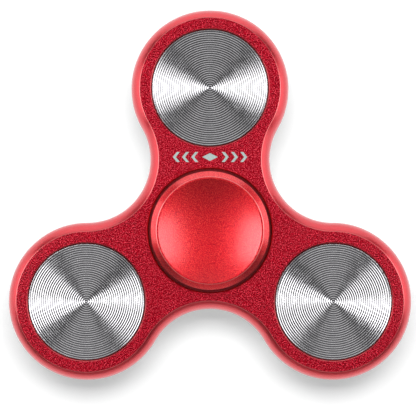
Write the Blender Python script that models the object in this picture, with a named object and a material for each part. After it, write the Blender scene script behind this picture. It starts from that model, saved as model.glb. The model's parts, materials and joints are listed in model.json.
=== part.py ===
"""A three-lobed metal fidget spinner, lying flat: +Z is the spin axis and the origin is the centre of its ball bearing.

The aluminium body turns on the bearing's outer ring and carries a pair of steel weights, screwed together through a
web, in each lobe. Two dished finger caps screw together through the inner ring, so a finger and a thumb hold the hub
still while the body spins. Lengths are in millimetres until a mesh is made.
"""

import math

import bmesh
import bpy
from mathutils import Matrix, Vector

MM = 0.001

# The body: three round lobes joined by hollow waists. The waists share the lobes' pitch circle.
LOBES = 3
LOBE_PITCH_RADIUS = 27.0
LOBE_RADIUS = 15.0
WAIST_RADIUS = LOBE_PITCH_RADIUS - LOBE_RADIUS
FIRST_LOBE_DEG = 90.0
BODY_HALF_HEIGHT = 4.2
EDGE_INSET = 1.7
EDGE_ROUND_RADIUS = 4.0

# The bearing: size 608, seven balls of 5/32 inch
BEARING_BORE_RADIUS = 4.0
BEARING_OUTER_RADIUS = 11.0
BEARING_HALF_WIDTH = 3.5
BALLS = 7
BALL_RADIUS = 3.969 / 2
BALL_PITCH_RADIUS = 7.5
RACE_RADIUS = BALL_RADIUS + 0.08
INNER_LAND_RADIUS = 6.05
OUTER_LAND_RADIUS = 8.95
RING_CHAMFER = 0.3

# Shields and the wire snap rings that keep them in the outer ring
SHIELD_SEAT_RADIUS = 9.75
SHIELD_SEAT_HEIGHT = 2.55
SHIELD_THICKNESS = 0.3
SHIELD_HOLE_RADIUS = 6.3
SNAP_RING_WIRE_RADIUS = 0.2
SNAP_RING_GAP_DEG = 16.0

# The crown cage: a ring with a ball pocket open on its front side
CAGE_INNER_RADIUS = 6.35
CAGE_OUTER_RADIUS = 8.65
CAGE_BOTTOM = -2.4
CAGE_TOP = 0.9
CAGE_POCKET_RADIUS = BALL_RADIUS + 0.1

# The weights: 22 mm discs, one from each side of the lobe's web
WEIGHT_RADIUS = 11.0
WEIGHT_FACE_HEIGHT = 4.1
WEIGHT_CHAMFER = 0.15
WEIGHT_BOSS_RADIUS = 5.9
WEIGHT_STUD_RADIUS = 2.6
WEIGHT_SOCKET_RADIUS = 2.7
WEIGHT_SOCKET_END = 3.0
WEB_HALF_HEIGHT = 0.6
WEB_HOLE_RADIUS = 6.0
POCKET_CHAMFER = 0.25

# The finger caps
CAP_RADIUS = 11.2
CAP_CREST_RADIUS = 10.1
CAP_CREST_HEIGHT = 6.2
CAP_SHOULDER_HEIGHT = 5.2
CAP_UNDERSIDE_HEIGHT = 3.85
CAP_FOOT_RADIUS = 5.6
DISH_RADIUS = 9.75
DISH_DEPTH = 1.1
CAP_WELL_RADIUS = 11.7
CAP_WELL_CHAMFER = 0.25
CAP_SOCKET_RADIUS = 2.5
CAP_SOCKET_END = 4.0
CAP_SOCKET_MOUTH = 0.3
CAP_STUD_RADIUS = 2.4
CAP_STUD_END = 3.75
STUD_CHAMFER = 0.3

# Gaps between neighbours
PRESS_GAP = 0.03
POCKET_GAP = 0.05
BORE_GAP = 0.07

# Facets of the round shapes
LOBE_STEPS = 24
WAIST_STEPS = 10
EDGE_STEPS = 3
DISH_STEPS = 4
RACE_STEPS = 4
RING_SEGMENTS = 40
HUB_SEGMENTS = 36
WEIGHT_SEGMENTS = 36
BALL_SEGMENTS = 14
BALL_RINGS = 8
SNAP_RING_POINTS = 24
SNAP_RING_ROUNDNESS = 1
SMOOTH_BELOW_DEG = 30.0
CUTTER_OVERRUN = 0.8
MERGE_MM = 0.0001


def polar(radius, degrees, height=0.0):
    """The point at this radius, angle and height about the spin axis."""
    angle = math.radians(degrees)
    return Vector((radius * math.cos(angle), radius * math.sin(angle), height))


def arc(centre, radius, start_deg, end_deg, steps):
    """Points along an arc about a centre, without its last point."""
    turn = (end_deg - start_deg) / steps
    return [centre + polar(radius, start_deg + turn * step) for step in range(steps)]


def lobe_angles():
    """The direction of each lobe from the hub, in degrees."""
    return [FIRST_LOBE_DEG + 360 / LOBES * lobe for lobe in range(LOBES)]


def make_material(name, color, metallic, roughness):
    """A plain Principled material."""
    material = bpy.data.materials.new(name)
    material.use_nodes = True
    shader = material.node_tree.nodes["Principled BSDF"]
    shader.inputs["Base Color"].default_value = (*color, 1.0)
    shader.inputs["Metallic"].default_value = metallic
    shader.inputs["Roughness"].default_value = roughness
    return material


def make_empty(name, location=(0, 0, 0), parent=None):
    """An empty that stands for a moving body, on its joint's axis."""
    empty = bpy.data.objects.new(name, None)
    bpy.context.collection.objects.link(empty)
    empty.location = Vector(location) * MM
    empty.parent = parent
    return empty


def add_object(name, data, material, location, parent):
    """Links a mesh or a curve to the scene as one named piece."""
    piece = bpy.data.objects.new(name, data)
    bpy.context.collection.objects.link(piece)
    data.materials.append(material)
    piece.location = Vector(location) * MM
    piece.parent = parent
    return piece


def finish_mesh(name, shape):
    """Turns a bmesh into a mesh with its faces pointing out, its round faces smooth and its corners sharp."""
    bmesh.ops.remove_doubles(shape, verts=shape.verts, dist=MERGE_MM * MM)
    bmesh.ops.recalc_face_normals(shape, faces=shape.faces)
    mesh = bpy.data.meshes.new(name)
    shape.to_mesh(mesh)
    shape.free()
    mesh.shade_smooth()
    mesh.set_sharp_from_angle(angle=math.radians(SMOOTH_BELOW_DEG))
    return mesh


def turned_mesh(name, profile, segments):
    """The solid that a profile of (radius, height) points sweeps about Z. It starts and ends on the axis, or closes."""
    shape = bmesh.new()
    points = [shape.verts.new((radius * MM, 0.0, height * MM)) for radius, height in profile]
    edges = [shape.edges.new(pair) for pair in zip(points, points[1:])]
    if profile[0][0] > 0:
        edges.append(shape.edges.new((points[-1], points[0])))
    bmesh.ops.spin(
        shape,
        geom=points + edges,
        axis=(0, 0, 1),
        cent=(0, 0, 0),
        angle=math.tau,
        steps=segments,
        use_merge=True,
    )
    return finish_mesh(name, shape)


def add_turned(name, profile, segments, material, location=(0, 0, 0), parent=None):
    """A turned piece in its place."""
    return add_object(name, turned_mesh(name, profile, segments), material, location, parent)


def upside_down(profile):
    """The same profile on the rear side."""
    return [(radius, -height) for radius, height in profile]


def cut(piece, cutter):
    """Cuts one object's shape out of a piece and hides the cutter."""
    cutter.hide_render = True
    cutter.display_type = "WIRE"
    boolean = piece.modifiers.new("cut_" + cutter.name, "BOOLEAN")
    boolean.operation = "DIFFERENCE"
    boolean.solver = "EXACT"
    boolean.object = cutter


def body_outline(inset):
    """The body's outline seen from above, drawn in all round by the inset."""
    points = []
    for lobe_deg in lobe_angles():
        lobe = polar(LOBE_PITCH_RADIUS, lobe_deg)
        points += arc(lobe, LOBE_RADIUS - inset, lobe_deg - 120, lobe_deg + 120, LOBE_STEPS)
        waist_deg = lobe_deg + 180 / LOBES
        waist = polar(LOBE_PITCH_RADIUS, waist_deg)
        points += arc(waist, WAIST_RADIUS + inset, waist_deg + 240, waist_deg + 120, WAIST_STEPS)
    return points


def edge_levels():
    """(inset, height) down the body's side: a round edge, a short wall and the same round edge upside down."""
    crease = math.asin(1 - EDGE_INSET / EDGE_ROUND_RADIUS)
    wall_height = BODY_HALF_HEIGHT - EDGE_ROUND_RADIUS * math.cos(crease)
    upper = []
    for step in range(EDGE_STEPS + 1):
        tilt = crease + (math.pi / 2 - crease) * step / EDGE_STEPS
        inset = EDGE_ROUND_RADIUS * (1 - math.sin(tilt))
        upper.append((inset, wall_height + EDGE_ROUND_RADIUS * math.cos(tilt)))
    return upper + upside_down(reversed(upper))


def add_body(material, parent):
    """The lobed plate, bored for the bearing and pocketed from both sides for the weights."""
    shape = bmesh.new()
    levels = [
        [shape.verts.new((point + Vector((0, 0, height))) * MM) for point in body_outline(inset)]
        for inset, height in edge_levels()
    ]
    for upper, lower in zip(levels, levels[1:]):
        for index in range(len(upper)):
            following = (index + 1) % len(upper)
            shape.faces.new((upper[index], lower[index], lower[following], upper[following]))
    shape.faces.new(levels[0])
    shape.faces.new(reversed(levels[-1]))
    body = add_object("spinner_body", finish_mesh("spinner_body", shape), material, (0, 0, 0), parent)
    cut(body, add_bearing_bore_cutter(material))
    for number, lobe_deg in enumerate(lobe_angles(), 1):
        cut(body, add_pocket_cutter(number, polar(LOBE_PITCH_RADIUS, lobe_deg), material))
    return body


def add_bearing_bore_cutter(material):
    """A through bore with a chamfered well for a finger cap on each side."""
    top = BODY_HALF_HEIGHT + CUTTER_OVERRUN
    front = [
        (CAP_WELL_RADIUS + CAP_WELL_CHAMFER + CUTTER_OVERRUN, top),
        (CAP_WELL_RADIUS, BODY_HALF_HEIGHT - CAP_WELL_CHAMFER),
        (CAP_WELL_RADIUS, BEARING_HALF_WIDTH),
        (BEARING_OUTER_RADIUS + PRESS_GAP, BEARING_HALF_WIDTH),
    ]
    profile = [(0, top)] + front + upside_down(reversed(front)) + [(0, -top)]
    return add_turned("cutter_bearing_bore", profile, RING_SEGMENTS, material)


def add_pocket_cutter(number, location, material):
    """A pocket for a weight on each side, with a hole through the web between them."""
    top = BODY_HALF_HEIGHT + CUTTER_OVERRUN
    pocket_radius = WEIGHT_RADIUS + POCKET_GAP
    front = [
        (pocket_radius + POCKET_CHAMFER + CUTTER_OVERRUN, top),
        (pocket_radius, BODY_HALF_HEIGHT - POCKET_CHAMFER),
        (pocket_radius, WEB_HALF_HEIGHT),
        (WEB_HOLE_RADIUS, WEB_HALF_HEIGHT),
    ]
    profile = [(0, top)] + front + upside_down(reversed(front)) + [(0, -top)]
    return add_turned(f"cutter_pocket_{number}", profile, WEIGHT_SEGMENTS, material, location)


def add_weights(material, parent):
    """In each lobe a front disc with a threaded socket, and a rear disc whose stud screws into it."""
    disc = [
        (WEIGHT_RADIUS - WEIGHT_CHAMFER, WEIGHT_FACE_HEIGHT),
        (WEIGHT_RADIUS, WEIGHT_FACE_HEIGHT - WEIGHT_CHAMFER),
        (WEIGHT_RADIUS, WEB_HALF_HEIGHT + PRESS_GAP),
    ]
    boss_end = 0.1 - WEB_HALF_HEIGHT
    socket = [
        (WEIGHT_BOSS_RADIUS, WEB_HALF_HEIGHT + PRESS_GAP),
        (WEIGHT_BOSS_RADIUS, boss_end),
        (WEIGHT_SOCKET_RADIUS, boss_end),
        (WEIGHT_SOCKET_RADIUS, WEIGHT_SOCKET_END),
        (0, WEIGHT_SOCKET_END),
    ]
    stud_end = WEIGHT_SOCKET_END - STUD_CHAMFER
    stud = [
        (WEIGHT_STUD_RADIUS, -WEB_HALF_HEIGHT - PRESS_GAP),
        (WEIGHT_STUD_RADIUS, stud_end - STUD_CHAMFER),
        (WEIGHT_STUD_RADIUS - STUD_CHAMFER, stud_end),
        (0, stud_end),
    ]
    front = [(0, WEIGHT_FACE_HEIGHT)] + disc + socket
    rear = [(0, -WEIGHT_FACE_HEIGHT)] + upside_down(disc) + stud
    for number, lobe_deg in enumerate(lobe_angles(), 1):
        place = polar(LOBE_PITCH_RADIUS, lobe_deg)
        add_turned(f"front_weight_{number}", front, WEIGHT_SEGMENTS, material, place, parent)
        add_turned(f"rear_weight_{number}", rear, WEIGHT_SEGMENTS, material, place, parent)


def race(land_radius):
    """The ball groove's points from the front down, where it breaks into a land at this radius. Side is +1 outside."""
    side = 1 if land_radius > BALL_PITCH_RADIUS else -1
    widest = math.acos(abs(land_radius - BALL_PITCH_RADIUS) / RACE_RADIUS)
    points = []
    for step in range(RACE_STEPS + 1):
        angle = widest * (1 - 2 * step / RACE_STEPS)
        radius = BALL_PITCH_RADIUS + side * RACE_RADIUS * math.cos(angle)
        points.append((radius, RACE_RADIUS * math.sin(angle)))
    return points


def add_outer_ring(material, parent):
    """The ring pressed into the body, with a seat for a shield on each side."""
    front = [
        (BEARING_OUTER_RADIUS, BEARING_HALF_WIDTH - RING_CHAMFER),
        (BEARING_OUTER_RADIUS - RING_CHAMFER, BEARING_HALF_WIDTH),
        (SHIELD_SEAT_RADIUS, BEARING_HALF_WIDTH),
        (SHIELD_SEAT_RADIUS, SHIELD_SEAT_HEIGHT),
        (OUTER_LAND_RADIUS, SHIELD_SEAT_HEIGHT),
    ]
    profile = front + race(OUTER_LAND_RADIUS) + upside_down(reversed(front))
    return add_turned("bearing_outer_ring", profile, RING_SEGMENTS, material, parent=parent)


def add_inner_ring(material, parent):
    """The ring that the two finger caps clamp."""
    front = [
        (BEARING_BORE_RADIUS, BEARING_HALF_WIDTH - RING_CHAMFER),
        (BEARING_BORE_RADIUS + RING_CHAMFER, BEARING_HALF_WIDTH),
        (INNER_LAND_RADIUS - RING_CHAMFER, BEARING_HALF_WIDTH),
        (INNER_LAND_RADIUS, BEARING_HALF_WIDTH - RING_CHAMFER),
    ]
    profile = front + race(INNER_LAND_RADIUS) + upside_down(reversed(front))
    return add_turned("bearing_inner_ring", profile, HUB_SEGMENTS, material, parent=parent)


def add_sphere(shape, radius, centre=(0, 0, 0)):
    """Adds a sphere to a bmesh."""
    bmesh.ops.create_uvsphere(
        shape,
        u_segments=BALL_SEGMENTS,
        v_segments=BALL_RINGS,
        radius=radius * MM,
        matrix=Matrix.Translation(Vector(centre) * MM),
    )


def ball_angles():
    """The direction of each ball from the spin axis, in degrees."""
    return [FIRST_LOBE_DEG + 360 / BALLS * ball for ball in range(BALLS)]


def add_balls(material, cage_axis):
    """Each ball has its origin at its centre, where its own axis runs."""
    for number, ball_deg in enumerate(ball_angles(), 1):
        shape = bmesh.new()
        add_sphere(shape, BALL_RADIUS)
        name = f"bearing_ball_{number}"
        mesh = finish_mesh(name, shape)
        add_object(name, mesh, material, polar(BALL_PITCH_RADIUS, ball_deg), cage_axis)


def add_cage(material, parent):
    """The crown cage: a ring with a round pocket for each ball, which snaps past the pocket's narrow mouth."""
    profile = [
        (CAGE_INNER_RADIUS, CAGE_TOP),
        (CAGE_OUTER_RADIUS, CAGE_TOP),
        (CAGE_OUTER_RADIUS, CAGE_BOTTOM),
        (CAGE_INNER_RADIUS, CAGE_BOTTOM),
    ]
    cage = add_turned("ball_cage", profile, RING_SEGMENTS, material, parent=parent)
    shape = bmesh.new()
    for ball_deg in ball_angles():
        add_sphere(shape, CAGE_POCKET_RADIUS, polar(BALL_PITCH_RADIUS, ball_deg))
    mesh = finish_mesh("cutter_ball_pockets", shape)
    cut(cage, add_object("cutter_ball_pockets", mesh, material, (0, 0, 0), None))


def add_shield(name, side, material, parent):
    """A thin ring that closes the bearing's side without touching the inner ring."""
    inner_face = SHIELD_SEAT_HEIGHT + PRESS_GAP
    outer_face = inner_face + SHIELD_THICKNESS
    profile = [
        (SHIELD_HOLE_RADIUS, side * outer_face),
        (SHIELD_SEAT_RADIUS - POCKET_GAP, side * outer_face),
        (SHIELD_SEAT_RADIUS - POCKET_GAP, side * inner_face),
        (SHIELD_HOLE_RADIUS, side * inner_face),
    ]
    return add_turned(name, profile, RING_SEGMENTS, material, parent=parent)


def add_snap_ring(name, side, material, parent):
    """A sprung wire ring with a gap, seated on the shield."""
    curve = bpy.data.curves.new(name, "CURVE")
    curve.dimensions = "3D"
    curve.bevel_depth = SNAP_RING_WIRE_RADIUS * MM
    curve.bevel_resolution = SNAP_RING_ROUNDNESS
    curve.use_fill_caps = True
    spline = curve.splines.new("POLY")
    spline.points.add(SNAP_RING_POINTS - 1)
    radius = SHIELD_SEAT_RADIUS - SNAP_RING_WIRE_RADIUS - POCKET_GAP
    height = SHIELD_SEAT_HEIGHT + SHIELD_THICKNESS + SNAP_RING_WIRE_RADIUS + 2 * PRESS_GAP
    turn = (360 - SNAP_RING_GAP_DEG) / (SNAP_RING_POINTS - 1)
    for index, point in enumerate(spline.points):
        angle = FIRST_LOBE_DEG + SNAP_RING_GAP_DEG / 2 + turn * index
        point.co = (*(polar(radius, angle, side * height) * MM), 1.0)
    return add_object(name, curve, material, (0, 0, 0), parent)


def cap_shell():
    """The finger cap's profile from the dish's centre out, over the crest and down to its foot on the inner ring."""
    sphere_radius = (DISH_RADIUS**2 + DISH_DEPTH**2) / (2 * DISH_DEPTH)
    sphere_height = CAP_CREST_HEIGHT - DISH_DEPTH + sphere_radius
    dish = []
    for step in range(DISH_STEPS + 1):
        radius = DISH_RADIUS * step / DISH_STEPS
        dish.append((radius, sphere_height - math.sqrt(sphere_radius**2 - radius**2)))
    foot = BEARING_HALF_WIDTH + PRESS_GAP
    return dish + [
        (CAP_CREST_RADIUS, CAP_CREST_HEIGHT),
        (CAP_RADIUS, CAP_SHOULDER_HEIGHT),
        (CAP_RADIUS, CAP_UNDERSIDE_HEIGHT),
        (CAP_FOOT_RADIUS, CAP_UNDERSIDE_HEIGHT),
        (CAP_FOOT_RADIUS, foot),
        (BEARING_BORE_RADIUS - BORE_GAP, foot),
    ]


def add_caps(material, front_axis, hub_axis):
    """The front cap has a threaded socket in its boss, and the rear cap has the stud that screws into it."""
    boss_radius = BEARING_BORE_RADIUS - BORE_GAP
    socket = [
        (boss_radius, CAP_SOCKET_MOUTH),
        (CAP_SOCKET_RADIUS, CAP_SOCKET_MOUTH),
        (CAP_SOCKET_RADIUS, CAP_SOCKET_END),
        (0, CAP_SOCKET_END),
    ]
    stud = [
        (boss_radius, 0),
        (CAP_STUD_RADIUS, 0),
        (CAP_STUD_RADIUS, CAP_STUD_END - STUD_CHAMFER),
        (CAP_STUD_RADIUS - STUD_CHAMFER, CAP_STUD_END),
        (0, CAP_STUD_END),
    ]
    add_turned("front_cap", cap_shell() + socket, HUB_SEGMENTS, material, parent=front_axis)
    add_turned("rear_cap", upside_down(cap_shell()) + stud, HUB_SEGMENTS, material, parent=hub_axis)


def clear_scene():
    """Removes whatever the scene holds."""
    for old in list(bpy.data.objects):
        bpy.data.objects.remove(old)


def main():
    clear_scene()
    red_blasted = make_material("anodised_red_blasted", (0.40, 0.012, 0.024), 1.0, 0.45)
    red_satin = make_material("anodised_red_satin", (0.62, 0.04, 0.05), 1.0, 0.35)
    turned_steel = make_material("turned_steel", (0.62, 0.62, 0.64), 1.0, 0.25)
    bearing_steel = make_material("bearing_steel", (0.70, 0.70, 0.71), 1.0, 0.15)
    cage_nylon = make_material("cage_nylon", (0.80, 0.76, 0.66), 0.0, 0.5)
    hub_axis = make_empty("hub_axis")
    front_cap_axis = make_empty("front_cap_axis", parent=hub_axis)
    spin_axis = make_empty("spin_axis", parent=hub_axis)
    cage_axis = make_empty("cage_axis", parent=hub_axis)
    add_body(red_blasted, spin_axis)
    add_weights(turned_steel, spin_axis)
    add_outer_ring(bearing_steel, spin_axis)
    add_inner_ring(bearing_steel, hub_axis)
    add_cage(cage_nylon, cage_axis)
    add_balls(bearing_steel, cage_axis)
    for name, side in (("front", 1), ("rear", -1)):
        add_shield(f"{name}_shield", side, bearing_steel, spin_axis)
        add_snap_ring(f"{name}_snap_ring", side, bearing_steel, spin_axis)
    add_caps(red_satin, front_cap_axis, hub_axis)


main()
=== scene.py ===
"""The looks of a three-lobed fidget spinner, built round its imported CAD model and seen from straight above.

Most pieces here replace a CAD node of the same place and size with a finer one: rounded edges, turned
grooves and screw threads. Their places come from the CAD model's boxes. Lengths are in millimetres until a
mesh is made, except that the camera, the lights and the floor's size are in metres.
"""

import json
import math

import bmesh
import bpy
from mathutils import Matrix, Vector

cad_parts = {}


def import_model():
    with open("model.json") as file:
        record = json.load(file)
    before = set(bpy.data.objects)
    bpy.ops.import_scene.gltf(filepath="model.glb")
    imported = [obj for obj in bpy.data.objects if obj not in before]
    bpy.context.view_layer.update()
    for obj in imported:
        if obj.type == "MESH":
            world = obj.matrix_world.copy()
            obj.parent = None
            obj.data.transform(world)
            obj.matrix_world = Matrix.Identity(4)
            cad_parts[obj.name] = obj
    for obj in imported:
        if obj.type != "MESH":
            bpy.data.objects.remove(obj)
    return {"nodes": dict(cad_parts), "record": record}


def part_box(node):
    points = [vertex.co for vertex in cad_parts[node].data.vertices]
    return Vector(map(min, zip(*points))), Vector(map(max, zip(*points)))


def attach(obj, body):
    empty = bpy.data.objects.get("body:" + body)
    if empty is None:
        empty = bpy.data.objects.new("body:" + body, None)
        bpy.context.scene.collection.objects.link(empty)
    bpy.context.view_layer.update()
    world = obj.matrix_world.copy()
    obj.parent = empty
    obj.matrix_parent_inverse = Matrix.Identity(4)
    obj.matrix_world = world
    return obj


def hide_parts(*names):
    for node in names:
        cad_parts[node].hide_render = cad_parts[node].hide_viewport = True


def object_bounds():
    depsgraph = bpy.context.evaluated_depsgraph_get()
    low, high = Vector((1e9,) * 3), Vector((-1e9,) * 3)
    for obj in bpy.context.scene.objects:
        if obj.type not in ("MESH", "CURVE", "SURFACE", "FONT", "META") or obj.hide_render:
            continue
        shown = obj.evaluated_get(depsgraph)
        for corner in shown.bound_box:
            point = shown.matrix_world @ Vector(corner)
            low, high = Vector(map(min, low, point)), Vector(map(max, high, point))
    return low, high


MM = 0.001

# Body
LOBES = 3
LOBE_TURN = math.tau / LOBES
LOBE_RADIUS = 15.0
FLAT_INSET = 1.7
CREASE_DROP = 1.195
CREASE_ROUND = 0.3
SIDE_ROUND = 3.7
POCKET_RADIUS = 11.05
POCKET_CHAMFER = 0.25
WEB_HALF_HEIGHT = 0.6
WEB_HOLE_RADIUS = 6.0
WELL_RADIUS = 11.7
WELL_CHAMFER = 0.25
BEARING_SEAT_RADIUS = 11.03
HOLE_ROUND = 0.1
LOBE_STEPS = 96
WAIST_STEPS = 48
HOLE_STEPS = 128

# The mark etched between the hub and the first lobe
MARK_RADIUS = 13.9
MARK_DEPTH = 0.03
MARK_STROKE = 0.42
MARK_SLANT = 1.4  # a slanted stroke's width along the mark's line, over its own width
MARK_HEIGHT = 1.9
MARK_POINT = 0.8  # how far a chevron's point stands out, over half its height
MARK_PITCH = 1.75
MARK_CHEVRONS = 3
MARK_START = 2.2
MARK_LOZENGE = (1.5, 0.75)
MARK_SLOT = 1

# Weights
GROOVES = 26
GROOVE_DEPTH = 0.072
GROOVE_LAND = 0.06
WEIGHT_STEPS = 120
WEIGHT_CHAMFER = 0.08
WEIGHT_RIM = 0.1
WEIGHT_BOSS_RADIUS = 5.9
WEIGHT_BOSS_GAP = 0.1
WEIGHT_SOCKET_RADIUS = 2.7
WEIGHT_SOCKET_END = 3.0
WEIGHT_STUD_RADIUS = 2.6
WEIGHT_STUD_GAP = 0.3

# Caps
CAP_CREST_RADIUS = 10.1
CAP_SHOULDER_HEIGHT = 5.2
CAP_UNDERSIDE_HEIGHT = 3.85
CAP_FOOT_RADIUS = 5.6
CAP_BOSS_RADIUS = 3.93
DISH_RADIUS = 9.75
DISH_DEPTH = 1.1
DISH_EDGE = 0.05
DISH_STEPS = 24
CAP_SOCKET_RADIUS = 2.5
CAP_SOCKET_END = 4.0
CAP_SOCKET_MOUTH = 0.3
CAP_MOUTH_CHAMFER = 0.3
CAP_STUD_RADIUS = 2.4
CAP_STUD_END = 3.75
STUD_CHAMFER = 0.3
THREAD_PITCH = 0.8
THREAD_DEPTH = 0.3
THREAD_ROWS = 8
CAP_STEPS = 128

# Bearing
BEARING_OUTER_RADIUS = 11.0
BEARING_BORE_RADIUS = 4.0
BEARING_HALF_WIDTH = 3.5
BALL_RADIUS = 3.969 / 2
BALL_PITCH_RADIUS = 7.5
RACE_RADIUS = BALL_RADIUS + 0.08
INNER_LAND_RADIUS = 6.05
INNER_LAND_HEIGHT = 2.0  # a helper point on the inner land, outside the race
OUTER_LAND_RADIUS = 8.95
SHIELD_SEAT_RADIUS = 9.75
SHIELD_SEAT_HEIGHT = 2.55
SHIELD_GAP = 0.05
SHIELD_HOLE_RADIUS = 6.3
SHIELD_LIP = 0.5
SHIELD_THICKNESS = 0.3
SHIELD_BEAD_RADIUS = 8.6
SHIELD_BEAD_SLOPE = 0.2
SHIELD_BEAD_RISE = 0.12
WIRE_RADIUS = 0.2
WIRE_GAP = math.radians(16)
WIRE_END_SHARE = 0.98  # how much of the wire's section is gone at its round ends
RACE_STEPS = 12
RING_STEPS = 96
BALL_STEPS = 36
WIRE_SIDES = 10
WIRE_STEPS = 88
WIRE_END_STEPS = 3

# All pieces
PRESS_GAP = 0.03
GUIDE_LENGTH = 1.0  # how far from a corner a helper point lies, to give the corner's rounding a direction
SAME_WITHIN = 0.01
SMOOTH_BELOW = math.radians(30)
CRISP_BELOW = math.radians(12)
ROUND_STEP = math.radians(9)

# Materials
NOISE_MIDDLE = 0.5
CLOUDINESS = 0.15
PLAIN_METALS = {
    "ring_steel": ((0.60, 0.60, 0.61), (0.72, 0.72, 0.73), 0.16),
    "ball_steel": ((0.76, 0.76, 0.77), (0.84, 0.84, 0.85), 0.06),
    "shield_steel": ((0.54, 0.54, 0.55), (0.66, 0.66, 0.67), 0.28),
    "wire_steel": ((0.30, 0.30, 0.31), (0.40, 0.40, 0.41), 0.35),
}

# Camera, floor and lights
CAMERA_DISTANCE = 0.330
CAMERA_CLIP = (0.01, 10)
VIEW_WIDTH = 0.07868
SENSOR = 36.0
SHIFT = (-0.0048, 0.054)
FLOOR_SIZE = 6.0
FLOOR_STEPS = 8
WALL_RADIUS = 2900
WALL_HEIGHT = 2000
WALL_STEPS = 64
NEAR_GLOW, FAR_GLOW = 0.42, 0.9
NEAR_RADIUS, FAR_RADIUS = 200, 1200
WORLD_BRIGHTNESS = 0.09
SIDE_PANEL_X, SIDE_PANEL_Y = 0.156, 0.027
SIDE_PANEL_WIDTH = 0.126
CARD_DISTANCE = 0.35
CARD_WIDTH = 0.5


# ---------------------------------------------------------------- shapes


def polar(radius, angle, height=0.0):
    return Vector((radius * math.cos(angle), radius * math.sin(angle), height))


def arc(centre, radius, start, end, steps):
    """Points along an arc, without its last point."""
    return [centre + polar(radius, start + (end - start) * step / steps) for step in range(steps)]


def rounded(corners):
    """The profile through corners of (radius, height, rounding). The first and last have no rounding."""
    points = []
    for index, (x, y, rounding) in enumerate(corners):
        if rounding == 0:
            points.append((x, y))
            continue
        corner = Vector((x, y))
        before = (Vector(corners[index - 1][:2]) - corner).normalized()
        after = (Vector(corners[index + 1][:2]) - corner).normalized()
        half = before.angle(after) / 2
        centre = corner + (before + after).normalized() * (rounding / math.sin(half))
        first = corner + before * (rounding / math.tan(half)) - centre
        last = corner + after * (rounding / math.tan(half)) - centre
        sweep = -first.angle_signed(last)
        steps = max(2, math.ceil(abs(sweep) / ROUND_STEP))
        for step in range(steps + 1):
            points.append(tuple(centre + Matrix.Rotation(sweep * step / steps, 2) @ first))
    return points


def mirrored(points):
    """The same profile or corners on the rear side, in reverse order."""
    return [(radius, -height, *rest) for radius, height, *rest in reversed(points)]


def upside_down(points):
    """The same profile on the rear side, in the same order."""
    return [(radius, -height) for radius, height in points]


def mesh_object(name, shape, location=(0, 0, 0), smooth_below=SMOOTH_BELOW):
    """An object from a bmesh, with its faces out, its round faces smooth and its corners sharp."""
    bmesh.ops.recalc_face_normals(shape, faces=shape.faces)
    mesh = bpy.data.meshes.new(name)
    shape.to_mesh(mesh)
    shape.free()
    mesh.set_sharp_from_angle(angle=smooth_below)
    made = bpy.data.objects.new(name, mesh)
    bpy.context.scene.collection.objects.link(made)
    made.location = Vector(location) * MM
    return made


def add_ring(shape, radius, height, steps, centre=(0, 0, 0)):
    """The vertices of one turned ring, or a single vertex on the axis."""
    middle = Vector(centre)
    if radius == 0:
        return [shape.verts.new((middle + Vector((0, 0, height))) * MM)]
    points = [middle + polar(radius, math.tau * step / steps, height) for step in range(steps)]
    return [shape.verts.new(point * MM) for point in points]


def join_rings(shape, first, second):
    """Faces between two rings, either of which may be a single vertex on the axis."""
    steps = max(len(first), len(second))
    for i in range(steps):
        corners = [first[i % len(first)], first[(i + 1) % len(first)]]
        corners += [second[(i + 1) % len(second)], second[i % len(second)]]
        face = shape.faces.new(list(dict.fromkeys(corners)))
        face.smooth = True


def turned(name, profile, steps, location=(0, 0, 0), closed=False, thread=None, smooth_below=SMOOTH_BELOW):
    """A turned piece. A closed profile makes a ring; the others start and end on the axis."""
    shape = bmesh.new()
    rings = [add_ring(shape, radius, height, steps) for radius, height in profile]
    if closed:
        rings.append(rings[0])
    for first, second in zip(rings, rings[1:]):
        join_rings(shape, first, second)
    if thread:
        cut_thread(shape, *thread)
    return mesh_object(name, shape, location, smooth_below)


def thread_rows(low, high):
    """Heights for the rows of a threaded stretch."""
    count = round(abs(high - low) / THREAD_PITCH * THREAD_ROWS)
    return [low + (high - low) * i / count for i in range(count + 1)]


def cut_thread(shape, radius, low, high, depth):
    """Presses a helical V thread into the wall of this radius, or outwards where the depth is negative.

    It fades in over a whole turn at the low end, and out over half a turn at the high one.
    """
    for vert in shape.verts:
        x, y, height = vert.co / MM
        if abs(math.hypot(x, y) - radius) > SAME_WITHIN or not low < height < high:
            continue
        turn = (height / THREAD_PITCH - math.atan2(y, x) / math.tau) % 1
        fade = min(1, (height - low) / THREAD_PITCH, (high - height) / THREAD_PITCH * 2)
        scale = 1 - depth * fade * abs(2 * turn - 1) / radius
        vert.co.x *= scale
        vert.co.y *= scale


# ---------------------------------------------------------------- body


def body_outline(inset, height, pitch_radius, first_angle):
    """The lobed outline, drawn in all round by the inset."""
    points = []
    middle = Vector((0, 0, height))
    waist_radius = pitch_radius - LOBE_RADIUS
    for lobe in range(LOBES):
        angle = first_angle + LOBE_TURN * lobe
        centre = middle + polar(pitch_radius, angle)
        points += arc(centre, LOBE_RADIUS - inset, angle - LOBE_TURN, angle + LOBE_TURN, LOBE_STEPS)
        waist = angle + LOBE_TURN / 2
        centre = middle + polar(pitch_radius, waist)
        points += arc(centre, waist_radius + inset, waist + 2 * LOBE_TURN, waist + LOBE_TURN, WAIST_STEPS)
    return points


def chevron(x, facing):
    """A chevron's outline about a point on the mark's line. Facing is 1 for right and -1 for left."""
    rise = MARK_HEIGHT / 2
    near = [(x, -rise), (x + facing * rise * MARK_POINT, 0), (x, rise)]
    far = [(along + facing * MARK_STROKE * MARK_SLANT, y) for along, y in near]
    return near + far[::-1]


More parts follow.
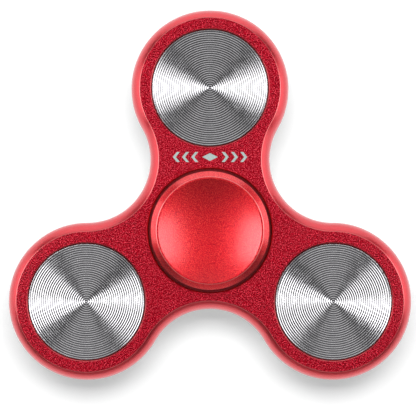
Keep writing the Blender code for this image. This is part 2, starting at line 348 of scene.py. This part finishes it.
def mark_outlines():
    """The etched mark's closed outlines: a lozenge, and chevrons on both sides that point away from it."""
    long, short = MARK_LOZENGE
    shapes = [[(-long, 0), (0, short), (long, 0), (0, -short)]]
    for facing in (-1, 1):
        for index in range(MARK_CHEVRONS):
            shapes.append(chevron(facing * (MARK_START + MARK_PITCH * index), facing))
    return shapes


def add_edge(shape, pitch_radius, first_angle, top):
    """The plate's rounded outer edge, with its crease. Returns its uppermost and lowest loop of vertices."""
    corners = [
        (FLAT_INSET + GUIDE_LENGTH, top, 0),
        (FLAT_INSET, top, CREASE_ROUND),
        (0, top - CREASE_DROP, SIDE_ROUND),
    ]
    levels = []
    for inset, height in rounded(corners + mirrored(corners))[1:-1]:
        outline = body_outline(inset, height, pitch_radius, first_angle)
        levels.append([shape.verts.new(point * MM) for point in outline])
    for upper, lower in zip(levels, levels[1:]):
        join_rings(shape, upper, lower)
    return levels[0], levels[-1]


def add_holes(shape, pitch_radius, first_angle, top):
    """The well and the pockets, each narrower at half height. Returns their front loops and rear loops."""
    well = [
        (WELL_RADIUS + WELL_CHAMFER, top, 0),
        (WELL_RADIUS, top - WELL_CHAMFER, HOLE_ROUND),
        (WELL_RADIUS, BEARING_HALF_WIDTH, 0),
        (BEARING_SEAT_RADIUS, BEARING_HALF_WIDTH, 0),
    ]
    pocket = [
        (POCKET_RADIUS + POCKET_CHAMFER, top, 0),
        (POCKET_RADIUS, top - POCKET_CHAMFER, HOLE_ROUND),
        (POCKET_RADIUS, WEB_HALF_HEIGHT, 0),
        (WEB_HOLE_RADIUS, WEB_HALF_HEIGHT, 0),
    ]
    holes = [(Vector((0, 0, 0)), well)]
    for lobe in range(LOBES):
        holes.append((polar(pitch_radius, first_angle + LOBE_TURN * lobe), pocket))
    front_loops, rear_loops = [], []
    for centre, wall in holes:
        profile = rounded(wall + mirrored(wall))
        rings = [add_ring(shape, radius, height, HOLE_STEPS, centre) for radius, height in profile]
        for first, second in zip(rings, rings[1:]):
            join_rings(shape, first, second)
        front_loops.append(rings[0])
        rear_loops.append(rings[-1])
    return front_loops, rear_loops


def add_body(pitch_radius, first_angle, top):
    """The lobed plate: rounded edges with a crease, chamfered pockets and well, and the etched mark."""
    shape = bmesh.new()
    front_edge, rear_edge = add_edge(shape, pitch_radius, first_angle, top)
    front_holes, rear_holes = add_holes(shape, pitch_radius, first_angle, top)
    etched = add_mark(shape, first_angle, top)
    fill_flat(shape, [front_edge, *front_holes, *(outline for outline, _ in etched)])
    fill_flat(shape, [rear_edge, *rear_holes])
    for _, face in etched:
        face.material_index = MARK_SLOT
    return mesh_object("body_shell", shape)


def fill_flat(shape, loops):
    """Fills a flat face that these loops of vertices bound, one outside and the others as holes."""
    edges = []
    for loop in loops:
        for first, second in zip(loop, loop[1:] + loop[:1]):
            edges.append(shape.edges.get((first, second)) or shape.edges.new((first, second)))
    bmesh.ops.triangle_fill(shape, use_beauty=True, use_dissolve=False, edges=edges)


def add_mark(shape, angle, top):
    """Etches the mark just below the front face. Returns each outline's upper vertices and its floor."""
    middle = polar(MARK_RADIUS, angle)
    etched = []
    for outline in mark_outlines():
        rings = []
        for height in (top, top - MARK_DEPTH):
            points = [middle + Vector((x, y, height)) for x, y in outline]
            rings.append([shape.verts.new(point * MM) for point in points])
        join_rings(shape, *rings)
        etched.append((rings[0], shape.faces.new(rings[1])))
    return etched


# ---------------------------------------------------------------- weights


def groove_pitch(radius):
    """The width of one groove on a disc of this radius, whose plain rim and chamfer have none."""
    return (radius - WEIGHT_CHAMFER - WEIGHT_RIM) / GROOVES


def grooved_face(pitch, height):
    """The profile from the axis out over V grooves, whose crests and bottoms are narrow flats."""
    land = GROOVE_LAND * pitch / 2
    points = [(0, height)]
    for groove in range(GROOVES):
        start, middle, end = (pitch * (groove + share) for share in (0, 0.5, 1))
        points += [(start + land, height), (middle - land, height - GROOVE_DEPTH)]
        points += [(middle + land, height - GROOVE_DEPTH), (end - land, height)]
    return points


def add_weights(places, radius, top):
    """Two grooved discs for each lobe: the front one with a socket and the rear one with a stud."""
    rim = rounded([
        (radius - WEIGHT_CHAMFER - WEIGHT_RIM, top, 0),
        (radius - WEIGHT_CHAMFER, top, 0.03),
        (radius, top - WEIGHT_CHAMFER, 0.05),
        (radius, WEB_HALF_HEIGHT + PRESS_GAP, 0),
        (WEIGHT_BOSS_RADIUS, WEB_HALF_HEIGHT + PRESS_GAP, 0),
    ])
    boss_end = WEIGHT_BOSS_GAP - WEB_HALF_HEIGHT
    socket = [
        (WEIGHT_BOSS_RADIUS, boss_end),
        (WEIGHT_SOCKET_RADIUS, boss_end),
        (WEIGHT_SOCKET_RADIUS, WEIGHT_SOCKET_END),
        (0, WEIGHT_SOCKET_END),
    ]
    stud_end = WEIGHT_SOCKET_END - WEIGHT_STUD_GAP
    stud = [
        (WEIGHT_STUD_RADIUS, -WEB_HALF_HEIGHT - PRESS_GAP),
        (WEIGHT_STUD_RADIUS, stud_end - STUD_CHAMFER),
        (WEIGHT_STUD_RADIUS - STUD_CHAMFER, stud_end),
        (0, stud_end),
    ]
    face = grooved_face(groove_pitch(radius), top)
    profiles = {"front": face + rim[1:] + socket, "rear": upside_down(face + rim[1:-1]) + stud}
    made = {}
    for number, place in enumerate(places, 1):
        for side, profile in profiles.items():
            disc = turned(f"{side}_disc_{number}", profile, WEIGHT_STEPS, place, smooth_below=CRISP_BELOW)
            made[f"{side}_weight_{number}"] = disc
    return made


# ---------------------------------------------------------------- caps


def cap_shell(radius, top):
    """The cap's profile from the dish's centre over its crest and down to its boss."""
    sphere_radius = (DISH_RADIUS**2 + DISH_DEPTH**2) / (2 * DISH_DEPTH)
    sphere_height = top - DISH_DEPTH + sphere_radius
    dish = []
    for step in range(DISH_STEPS):
        place = (DISH_RADIUS - DISH_EDGE) * step / (DISH_STEPS - 1)
        dish.append((place, sphere_height - math.sqrt(sphere_radius**2 - place**2)))
    foot = BEARING_HALF_WIDTH + PRESS_GAP
    shell = rounded([
        (*dish[-1], 0),
        (DISH_RADIUS, top, 0.08),
        (CAP_CREST_RADIUS, top, 0.12),
        (radius, CAP_SHOULDER_HEIGHT, 0.15),
        (radius, CAP_UNDERSIDE_HEIGHT, 0.12),
        (CAP_FOOT_RADIUS, CAP_UNDERSIDE_HEIGHT, 0.1),
        (CAP_FOOT_RADIUS, foot, 0.1),
        (CAP_BOSS_RADIUS, foot, 0),
    ])
    return dish[:-1] + shell


def add_front_cap(shell):
    """The front cap, with a threaded socket in its boss."""
    wall_start = CAP_SOCKET_MOUTH + CAP_MOUTH_CHAMFER
    mouth = rounded([
        (CAP_BOSS_RADIUS, CAP_SOCKET_MOUTH + GUIDE_LENGTH, 0),
        (CAP_BOSS_RADIUS, CAP_SOCKET_MOUTH, 0.15),
        (CAP_SOCKET_RADIUS + CAP_MOUTH_CHAMFER, CAP_SOCKET_MOUTH, 0.08),
        (CAP_SOCKET_RADIUS, wall_start, 0),
    ])
    wall = [(CAP_SOCKET_RADIUS, height) for height in thread_rows(wall_start, CAP_SOCKET_END)]
    profile = shell + mouth + wall[1:] + [(0, CAP_SOCKET_END)]
    thread = (CAP_SOCKET_RADIUS, wall_start, CAP_SOCKET_END, -THREAD_DEPTH)
    return turned("front_cap_shell", profile, CAP_STEPS, thread=thread)


def add_rear_cap(shell):
    """The rear cap, with the threaded stud that fits the front one's socket."""
    shaft_end = CAP_STUD_END - STUD_CHAMFER
    step = [(CAP_BOSS_RADIUS, 0), (CAP_STUD_RADIUS, 0)]
    shaft = [(CAP_STUD_RADIUS, height) for height in thread_rows(0, shaft_end)]
    end = [(CAP_STUD_RADIUS - STUD_CHAMFER, CAP_STUD_END), (0, CAP_STUD_END)]
    profile = upside_down(shell) + step + shaft[1:] + end
    thread = (CAP_STUD_RADIUS, 0, shaft_end + SAME_WITHIN, THREAD_DEPTH)
    return turned("rear_cap_shell", profile, CAP_STEPS, thread=thread)


# ---------------------------------------------------------------- bearing


def race(land_radius):
    """The ball groove from the front down, where it breaks into a land of this radius."""
    side = 1 if land_radius > BALL_PITCH_RADIUS else -1
    widest = math.acos(abs(land_radius - BALL_PITCH_RADIUS) / RACE_RADIUS)
    points = []
    for step in range(RACE_STEPS + 1):
        angle = widest * (1 - 2 * step / RACE_STEPS)
        radius = BALL_PITCH_RADIUS + side * RACE_RADIUS * math.cos(angle)
        points.append((radius, RACE_RADIUS * math.sin(angle)))
    return points


def add_outer_ring():
    """The bearing's outer ring, with a seat for each shield beside its race."""
    front = rounded([
        (BEARING_OUTER_RADIUS, 0, 0),
        (BEARING_OUTER_RADIUS, BEARING_HALF_WIDTH, 0.3),
        (SHIELD_SEAT_RADIUS, BEARING_HALF_WIDTH, 0.15),
        (SHIELD_SEAT_RADIUS, SHIELD_SEAT_HEIGHT, 0),
        (OUTER_LAND_RADIUS, SHIELD_SEAT_HEIGHT, 0),
    ])
    profile = front + race(OUTER_LAND_RADIUS) + mirrored(front)[:-1]
    return turned("outer_race", profile, RING_STEPS, closed=True)


def add_inner_ring():
    """The bearing's inner ring, whose race breaks into a plain land."""
    front = rounded([
        (BEARING_BORE_RADIUS, 0, 0),
        (BEARING_BORE_RADIUS, BEARING_HALF_WIDTH, 0.3),
        (INNER_LAND_RADIUS, BEARING_HALF_WIDTH, 0.25),
        (INNER_LAND_RADIUS, INNER_LAND_HEIGHT, 0),
    ])
    profile = front + race(INNER_LAND_RADIUS) + mirrored(front)[:-1]
    return turned("inner_race", profile, RING_STEPS, closed=True)


def add_shield(name, side):
    """A pressed ring with a raised bead."""
    low = SHIELD_SEAT_HEIGHT + PRESS_GAP
    high = low + SHIELD_THICKNESS
    outer = SHIELD_SEAT_RADIUS - SHIELD_GAP
    rise = SHIELD_BEAD_RISE
    top = rounded([
        (outer, low, 0),
        (outer, high - rise, 0.05),
        (SHIELD_BEAD_RADIUS + SHIELD_BEAD_SLOPE, high - rise, 0.2),
        (SHIELD_BEAD_RADIUS, high, 0.2),
        (SHIELD_HOLE_RADIUS + SHIELD_LIP, high, 0.2),
        (SHIELD_HOLE_RADIUS, high - rise, 0.05),
        (SHIELD_HOLE_RADIUS, low, 0),
    ])
    profile = [(radius, side * height) for radius, height in top]
    return turned(name, profile, RING_STEPS, closed=True)


def add_snap_ring(name, box):
    """A sprung wire ring with a gap and round ends, as wide as this box."""
    shape = bmesh.new()
    radius = box[1].x / MM - WIRE_RADIUS
    height = (box[0].z + box[1].z) / 2 / MM
    start = math.pi / 2 + WIRE_GAP / 2
    turn = math.tau - WIRE_GAP
    around = [math.tau * i / WIRE_SIDES for i in range(WIRE_SIDES)]
    rings = []
    for index in range(-WIRE_END_STEPS, WIRE_STEPS + WIRE_END_STEPS + 1):
        along = min(max(index, 0), WIRE_STEPS) / WIRE_STEPS
        past = max(-index, index - WIRE_STEPS, 0) / WIRE_END_STEPS
        thick = WIRE_RADIUS * math.sqrt(1 - WIRE_END_SHARE * past**2)
        reach = math.copysign(past * WIRE_RADIUS, index) / radius
        angle = start + turn * along + reach
        section = [polar(radius + thick * math.cos(a), angle, height + thick * math.sin(a)) for a in around]
        rings.append([shape.verts.new(point * MM) for point in section])
    for first, second in zip(rings, rings[1:]):
        join_rings(shape, first, second)
    shape.faces.new(rings[0])
    shape.faces.new(rings[-1])
    return mesh_object(name, shape)


def add_ball(name, centre):
    """A ball, turned like the other pieces, with its first and last ring drawn to a point."""
    profile = []
    for step in range(BALL_STEPS // 2 + 1):
        angle = math.pi * step / (BALL_STEPS // 2)
        profile.append((abs(BALL_RADIUS * math.sin(angle)), BALL_RADIUS * math.cos(angle)))
    profile[0] = (0, BALL_RADIUS)
    profile[-1] = (0, -BALL_RADIUS)
    return turned(name, profile, BALL_STEPS, centre)


# ---------------------------------------------------------------- materials


class Nodes:
    """A material's node tree, with short calls to add to it."""

    def __init__(self, name):
        self.material = bpy.data.materials.new(name)
        self.material.use_nodes = True
        self.tree = self.material.node_tree
        self.shader = self.tree.nodes["Principled BSDF"]
        self.place = self.add("ShaderNodeTexCoord").outputs["Object"]

    def add(self, kind, **settings):
        node = self.tree.nodes.new(kind)
        for key, value in settings.items():
            setattr(node, key, value)
        return node

    def link(self, source, target):
        self.tree.links.new(source, target)

    def feed(self, socket, source):
        """Links a source to one of the shader's own sockets."""
        self.link(source, self.shader.inputs[socket])

    def set(self, **values):
        """Sets the shader's own sockets, named with underscores for spaces."""
        for key, value in values.items():
            self.shader.inputs[key.replace("_", " ")].default_value = value

    def noise(self, size_mm, detail=2.0, roughness=0.5):
        """Noise whose features are about this size."""
        node = self.add("ShaderNodeTexNoise")
        node.inputs["Scale"].default_value = 1 / (size_mm * MM)
        node.inputs["Detail"].default_value = detail
        node.inputs["Roughness"].default_value = roughness
        self.link(self.place, node.inputs["Vector"])
        return node.outputs["Fac"]

    def ramp(self, source, stops):
        """A value turned to a colour through stops of (position, colour)."""
        node = self.add("ShaderNodeValToRGB")
        elements = node.color_ramp.elements
        for element, (position, color) in zip(elements, (stops[0], stops[-1])):
            element.position = position
            element.color = (*color, 1)
        for position, color in stops[1:-1]:
            elements.new(position).color = (*color, 1)
        self.link(source, node.inputs["Fac"])
        return node.outputs["Color"]

    def spread(self, source, low, high, from_low=0.3, from_high=0.7):
        """A value moved to another range, from the usual range of noise unless another is given."""
        node = self.add("ShaderNodeMapRange")
        node.inputs["From Min"].default_value = from_low
        node.inputs["From Max"].default_value = from_high
        node.inputs["To Min"].default_value = low
        node.inputs["To Max"].default_value = high
        self.link(source, node.inputs["Value"])
        return node.outputs["Result"]

    def math(self, operation, first, second=0.0):
        """An operation on sockets or numbers. One that takes a single value leaves the second out."""
        node = self.add("ShaderNodeMath", operation=operation)
        for socket, value in zip(node.inputs, (first, second)):
            if isinstance(value, (int, float)):
                socket.default_value = value
            else:
                self.link(value, socket)
        return node.outputs["Value"]

    def off(self, value, level):
        """How far a value is from a level, either way."""
        return self.math("ABSOLUTE", self.math("SUBTRACT", value, level))

    def blend(self, share, first, second):
        """The first colour turning to a second, constant one."""
        node = self.add("ShaderNodeMix", data_type="RGBA")
        factor, start, end = (socket for socket in node.inputs if socket.enabled)
        self.link(share, factor)
        self.link(first, start)
        end.default_value = (*second, 1)
        return next(socket for socket in node.outputs if socket.enabled)

    def radius(self):
        """The distance from the piece's own Z axis, in millimetres."""
        flat = self.add("ShaderNodeVectorMath", operation="MULTIPLY")
        flat.inputs[1].default_value = (1 / MM, 1 / MM, 0)
        self.link(self.place, flat.inputs[0])
        length = self.add("ShaderNodeVectorMath", operation="LENGTH")
        self.link(flat.outputs["Vector"], length.inputs[0])
        return length.outputs["Value"]

    def height(self):
        """The distance from the piece's own middle plane, in millimetres."""
        split = self.add("ShaderNodeSeparateXYZ")
        self.link(self.place, split.inputs["Vector"])
        return self.math("ABSOLUTE", self.math("DIVIDE", split.outputs["Z"], MM))

    def bump(self, height, depth_mm):
        """Raises and lowers the surface by a value, over this depth."""
        node = self.add("ShaderNodeBump")
        node.inputs["Distance"].default_value = depth_mm * MM
        self.link(height, node.inputs["Height"])
        self.feed("Normal", node.outputs["Normal"])


def blasted_red(top):
    """Bead-blasted aluminium, anodised red.

    It sparkles on the flat faces, is smoother down the sides, and has a painted highlight at the crease and
    painted shade in the well.
    """
    nodes = Nodes("blasted_red")
    side_to_flat = (0.25, 1.0)
    noise = nodes.noise(0.22, detail=1.0, roughness=0.6)
    flatness = nodes.spread(nodes.height(), *side_to_flat, top - 0.02, top - 0.004)
    swing = nodes.math("MULTIPLY", nodes.math("SUBTRACT", noise, NOISE_MIDDLE), flatness)
    grain = nodes.math("ADD", swing, NOISE_MIDDLE)
    dark, middle, bright = (0.22, 0.0002, 0.006), (0.40, 0.001, 0.013), (0.72, 0.05, 0.08)
    # The second colour is a painted highlight for the crease, and the third is painted shade for the well.
    side_red, crease_highlight_red, well_shade_red = (0.72, 0.048, 0.062), (0.85, 0.22, 0.22), (0.02, 0.0, 0.0)
    color = nodes.ramp(grain, [(0.36, dark), (NOISE_MIDDLE, middle), (0.62, bright)])
    color = nodes.blend(nodes.spread(flatness, 0.8, 0.0, *side_to_flat), color, side_red)
    # Painted highlight: a pale line of colour just below the front face, along the crease.
    off_crease = nodes.off(nodes.height(), top - 0.035)
    color = nodes.blend(nodes.spread(off_crease, 0.6, 0.0, 0.015, 0.035), color, crease_highlight_red)
    # Painted shade: everything inside the well's radius, the ledge under the cap too, turns nearly black.
    well_shade = nodes.spread(nodes.radius(), 0.75, 0.0, WELL_RADIUS, WELL_RADIUS + 0.08)
    nodes.feed("Base Color", nodes.blend(well_shade, color, well_shade_red))
    nodes.feed("Roughness", nodes.spread(flatness, 0.29, 0.36, *side_to_flat))
    nodes.feed("Coat Weight", nodes.spread(flatness, 0.6, 0.12, *side_to_flat))
    nodes.set(Metallic=1.0, Coat_Roughness=0.2, Coat_IOR=1.6)
    nodes.bump(grain, 0.2)
    return nodes.material


def satin_red():
    """Turned aluminium with a fine satin finish, anodised red, with a painted highlight along its crest."""
    nodes = Nodes("satin_red")
    grain = nodes.noise(0.17, detail=1.0, roughness=0.6)
    dark, middle, bright = (0.67, 0.0005, 0.016), (0.88, 0.004, 0.020), (1.0, 0.05, 0.045)
    crest_highlight_red = (1.0, 0.36, 0.36)
    color = nodes.ramp(grain, [(0.36, dark), (NOISE_MIDDLE, middle), (0.64, bright)])
    # Painted highlight: a pale line of colour round the crest.
    off_crest = nodes.off(nodes.radius(), CAP_CREST_RADIUS)
    crest_highlight = nodes.spread(off_crest, 0.6, 0.0, 0.03, 0.08)
    nodes.feed("Base Color", nodes.blend(crest_highlight, color, crest_highlight_red))
    nodes.set(Metallic=1.0, Roughness=0.32, Coat_Weight=0.85, Coat_Roughness=0.2, Coat_IOR=1.7)
    nodes.bump(grain, 0.04)
    return nodes.material


def etched_mark():
    """Bare oxide where the colour has been etched away."""
    nodes = Nodes("etched_mark")
    grain = nodes.noise(0.2)
    dark, light = (0.33, 0.40, 0.39), (0.46, 0.54, 0.52)
    nodes.feed("Base Color", nodes.ramp(grain, [(0.3, dark), (0.7, light)]))
    nodes.set(Metallic=0.3, Roughness=0.6)
    nodes.bump(grain, 0.01)
    return nodes.material


def turned_steel(pitch):
    """Bright turned steel with painted shade down in its grooves, blotches of tone and a very fine tooth."""
    nodes = Nodes("turned_steel")
    # Painted shade: the colour darkens towards each groove's bottom, and random blotches vary it further.
    groove = nodes.math("COSINE", nodes.math("MULTIPLY", nodes.radius(), math.tau / pitch))
    blotch = nodes.noise(1.4, detail=3.0)
    groove_shade_and_blotch = nodes.math("ADD", groove, nodes.math("MULTIPLY", blotch, 0.5))
    crest = nodes.spread(groove_shade_and_blotch, 0.0, 1.0, -0.4, 0.9)
    shade_and_blotch_steel, bright = (0.19, 0.185, 0.20), (0.75, 0.74, 0.76)
    nodes.feed("Base Color", nodes.ramp(crest, [(0.0, shade_and_blotch_steel), (1.0, bright)]))
    nodes.feed("Roughness", nodes.spread(blotch, 0.20, 0.25))
    nodes.set(Metallic=1.0)
    nodes.bump(nodes.noise(0.12), 0.0012)
    return nodes.material


def plain_metal(name, dark, light, roughness):
    """Ground or drawn metal with a slight cloudiness."""
    nodes = Nodes(name)
    cloud = nodes.noise(0.5, detail=3.0)
    smooth, rough = roughness * (1 - CLOUDINESS), roughness * (1 + CLOUDINESS)
    nodes.feed("Base Color", nodes.ramp(cloud, [(0.3, dark), (0.7, light)]))
    nodes.feed("Roughness", nodes.spread(cloud, smooth, rough))
    nodes.set(Metallic=1.0)
    return nodes.material


def cage_nylon():
    """The ball cage's moulded nylon, a warm off-white."""
    nodes = Nodes("cage_nylon")
    cloud = nodes.noise(0.8, detail=3.0)
    dark, light = (0.70, 0.66, 0.55), (0.78, 0.74, 0.64)
    nodes.feed("Base Color", nodes.ramp(cloud, [(0.3, dark), (0.7, light)]))
    nodes.set(Roughness=0.5, Subsurface_Weight=0.1)
    nodes.bump(cloud, 0.01)
    return nodes.material


def floor_paper():
    """Matt white paper. It glows, and more so far off, which keeps it white where the light doesn't reach.

    The glow isn't sampled as a light is, so that the wall's doesn't fill the shadow in.
    """
    nodes = Nodes("floor_paper")
    cloud = nodes.noise(2.0, detail=4.0)
    dark, light = (0.67, 0.67, 0.67), (0.69, 0.69, 0.69)
    nodes.feed("Base Color", nodes.ramp(cloud, [(0.3, dark), (0.7, light)]))
    nodes.set(Roughness=1.0, Specular_IOR_Level=0.0, Emission_Color=(1, 1, 1, 1))
    glow = nodes.spread(nodes.radius(), NEAR_GLOW, FAR_GLOW, NEAR_RADIUS, FAR_RADIUS)
    nodes.feed("Emission Strength", glow)
    nodes.material.cycles.emission_sampling = "NONE"
    return nodes.material


def wear(piece, *materials):
    """Gives a piece its materials, slot by slot."""
    slots = piece.data.materials
    for index, material in enumerate(materials):
        if index < len(slots):
            slots[index] = material
        else:
            slots.append(material)


def take_place(piece, node, body):
    """The piece stands for a CAD node, moves with its body and is left out of diffuse rays."""
    piece.visible_diffuse = False
    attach(piece, body)
    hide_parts(node)


# ---------------------------------------------------------------- studio


def add_floor(height):
    """A wide sheet of paper that the spinner lies on."""
    shape = bmesh.new()
    bmesh.ops.create_grid(shape, x_segments=FLOOR_STEPS, y_segments=FLOOR_STEPS, size=FLOOR_SIZE / 2)
    floor = mesh_object("floor", shape)
    floor.location.z = height
    wear(floor, floor_paper())
    return floor


def add_wall(floor):
    """A pale wall far off, of the floor's own paper. Only the camera sees it, so it lights nothing."""
    shape = bmesh.new()
    rings = [add_ring(shape, WALL_RADIUS, height, WALL_STEPS) for height in (0, WALL_HEIGHT)]
    join_rings(shape, *rings)
    wall = mesh_object("wall", shape)
    wall.location = floor.location
    wall.visible_diffuse = wall.visible_glossy = wall.visible_shadow = False
    wear(wall, floor.data.materials[0])


def add_panel(name, place, target, size, brightness, for_floor=False):
    """A soft rectangular light that faces a target. It shines either on metal or on matt things only."""
    data = bpy.data.lights.new(name, "AREA")
    data.shape = "RECTANGLE"
    data.size, data.size_y = size
    data.energy = brightness * size[0] * size[1] * math.pi
    light = bpy.data.objects.new(name, data)
    bpy.context.scene.collection.objects.link(light)
    light.location = place
    aim = Vector(target) - Vector(place)
    light.rotation_mode = "QUATERNION"
    light.rotation_quaternion = aim.to_track_quat("-Z", "Y")
    light.visible_glossy = not for_floor
    light.visible_diffuse = for_floor


def add_side_panels(name, side, foot, low, middle, high):
    """Three upright panels, one on top of another, and a fourth above them that leans in."""
    stack = (("foot", 0.035, 0.07, foot), ("low", 0.12, 0.1, low), ("middle", 0.245, 0.15, middle))
    for part, height, tall, brightness in stack:
        place = (side * SIDE_PANEL_X, SIDE_PANEL_Y, height)
        target = (0, SIDE_PANEL_Y, height)
        add_panel(f"{name}_{part}_panel", place, target, (SIDE_PANEL_WIDTH, tall), brightness)
    add_panel(f"{name}_high_panel", (side * 0.21, 0.045, 0.45), (0, 0, 0), (0.17, 0.2), high)


def add_card(name, side, height, tall, brightness):
    """An upright card. Side is 1 for one behind the spinner, and -1 for one in front of it."""
    place = (0, side * CARD_DISTANCE, height)
    add_panel(name, place, (0, 0, height), (CARD_WIDTH, tall), brightness)


def add_lights():
    """Tall panels on both sides, cards behind and in front, and a light above for the floor's shadow."""
    add_side_panels("left", -1, foot=1.4, low=3.2, middle=2.0, high=4.5)
    add_side_panels("right", 1, foot=1.5, low=2.7, middle=2.2, high=3.5)
    add_card("back_foot_card", 1, 0.04, 0.08, 1.5)
    add_card("back_low_card", 1, 0.18, 0.2, 0.75)
    add_card("back_middle_card", 1, 0.45, 0.3, 0.6)
    add_panel("back_high_card", (0, 0.25, 0.53), (0, 0, 0), (0.3, 0.15), 0.3)
    add_card("front_low_card", -1, 0.18, 0.2, 0.45)
    add_card("front_middle_card", -1, 0.45, 0.3, 0.15)
    add_panel("floor_light", (0, 0.25, 0.54), (0, 0, 0), (0.6, 0.3), 8.5, for_floor=True)


def add_world():
    """A faint even light from all round."""
    world = bpy.data.worlds.new("studio")
    world.use_nodes = True
    background = world.node_tree.nodes["Background"]
    background.inputs["Color"].default_value = (1, 1, 1, 1)
    background.inputs["Strength"].default_value = WORLD_BRIGHTNESS
    bpy.context.scene.world = world


def add_camera(top):
    """A camera straight above, whose view at the body's top face is as wide as the photograph's."""
    data = bpy.data.cameras.new("camera")
    data.sensor_width = SENSOR
    data.lens = SENSOR * CAMERA_DISTANCE / VIEW_WIDTH
    data.shift_x, data.shift_y = SHIFT
    data.clip_start, data.clip_end = CAMERA_CLIP
    camera = bpy.data.objects.new("camera", data)
    bpy.context.scene.collection.objects.link(camera)
    camera.location = (0, 0, top + CAMERA_DISTANCE)
    bpy.context.scene.camera = camera


# ---------------------------------------------------------------- the whole


def middle_of(node):
    """The centre of a CAD node's box, in millimetres."""
    low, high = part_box(node)
    return (low + high) / 2 / MM


def lobe_places():
    """The middle of each lobe, as its front weight has it, on the middle plane."""
    middles = [middle_of(f"front_weight_{number}") for number in range(1, LOBES + 1)]
    return [Vector((middle.x, middle.y, 0)) for middle in middles]


def make_pieces(ball_nodes, body_top):
    """Each replaced CAD node's piece, with its materials after it."""
    places = lobe_places()
    pitch_radius = places[0].length
    first_angle = math.atan2(places[0].y, places[0].x)
    weight_low, weight_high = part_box("front_weight_1")
    weight_radius = (weight_high.x - weight_low.x) / 2 / MM
    cap_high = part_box("front_cap")[1] / MM

    red, satin, steel = blasted_red(body_top), satin_red(), turned_steel(groove_pitch(weight_radius))
    metals = {name: plain_metal(name, *look) for name, look in PLAIN_METALS.items()}

    pieces = {"spinner_body": (add_body(pitch_radius, first_angle, body_top), red, etched_mark())}
    for node, disc in add_weights(places, weight_radius, weight_high.z / MM).items():
        pieces[node] = (disc, steel)
    shell = cap_shell(cap_high.x, cap_high.z)
    pieces["front_cap"] = (add_front_cap(shell), satin)
    pieces["rear_cap"] = (add_rear_cap(shell), satin)
    pieces["bearing_outer_ring"] = (add_outer_ring(), metals["ring_steel"])
    pieces["bearing_inner_ring"] = (add_inner_ring(), metals["ring_steel"])
    for name, side in (("front", 1), ("rear", -1)):
        pieces[f"{name}_shield"] = (add_shield(f"{name}_shield_plate", side), metals["shield_steel"])
        wire = add_snap_ring(f"{name}_snap_wire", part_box(f"{name}_snap_ring"))
        pieces[f"{name}_snap_ring"] = (wire, metals["wire_steel"])
    for node in ball_nodes:
        pieces[node] = (add_ball("smooth_" + node, middle_of(node)), metals["ball_steel"])
    return pieces


def main():
    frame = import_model()
    cad_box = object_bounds()
    record = frame["record"]
    bodies = {name: body for body, members in record["behaviour"]["bodies"].items() for name in members}
    balls = [node for node in frame["nodes"] if node.startswith("bearing_ball")]
    body_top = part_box("spinner_body")[1].z / MM

    for node, (piece, *materials) in make_pieces(balls, body_top).items():
        wear(piece, *materials)
        take_place(piece, node, bodies[node])
    wear(frame["nodes"]["ball_cage"], cage_nylon())

    add_wall(add_floor(cad_box[0].z))
    add_lights()
    add_world()
    add_camera(body_top * MM)
    bpy.context.scene.view_settings.view_transform = "Standard"


main()
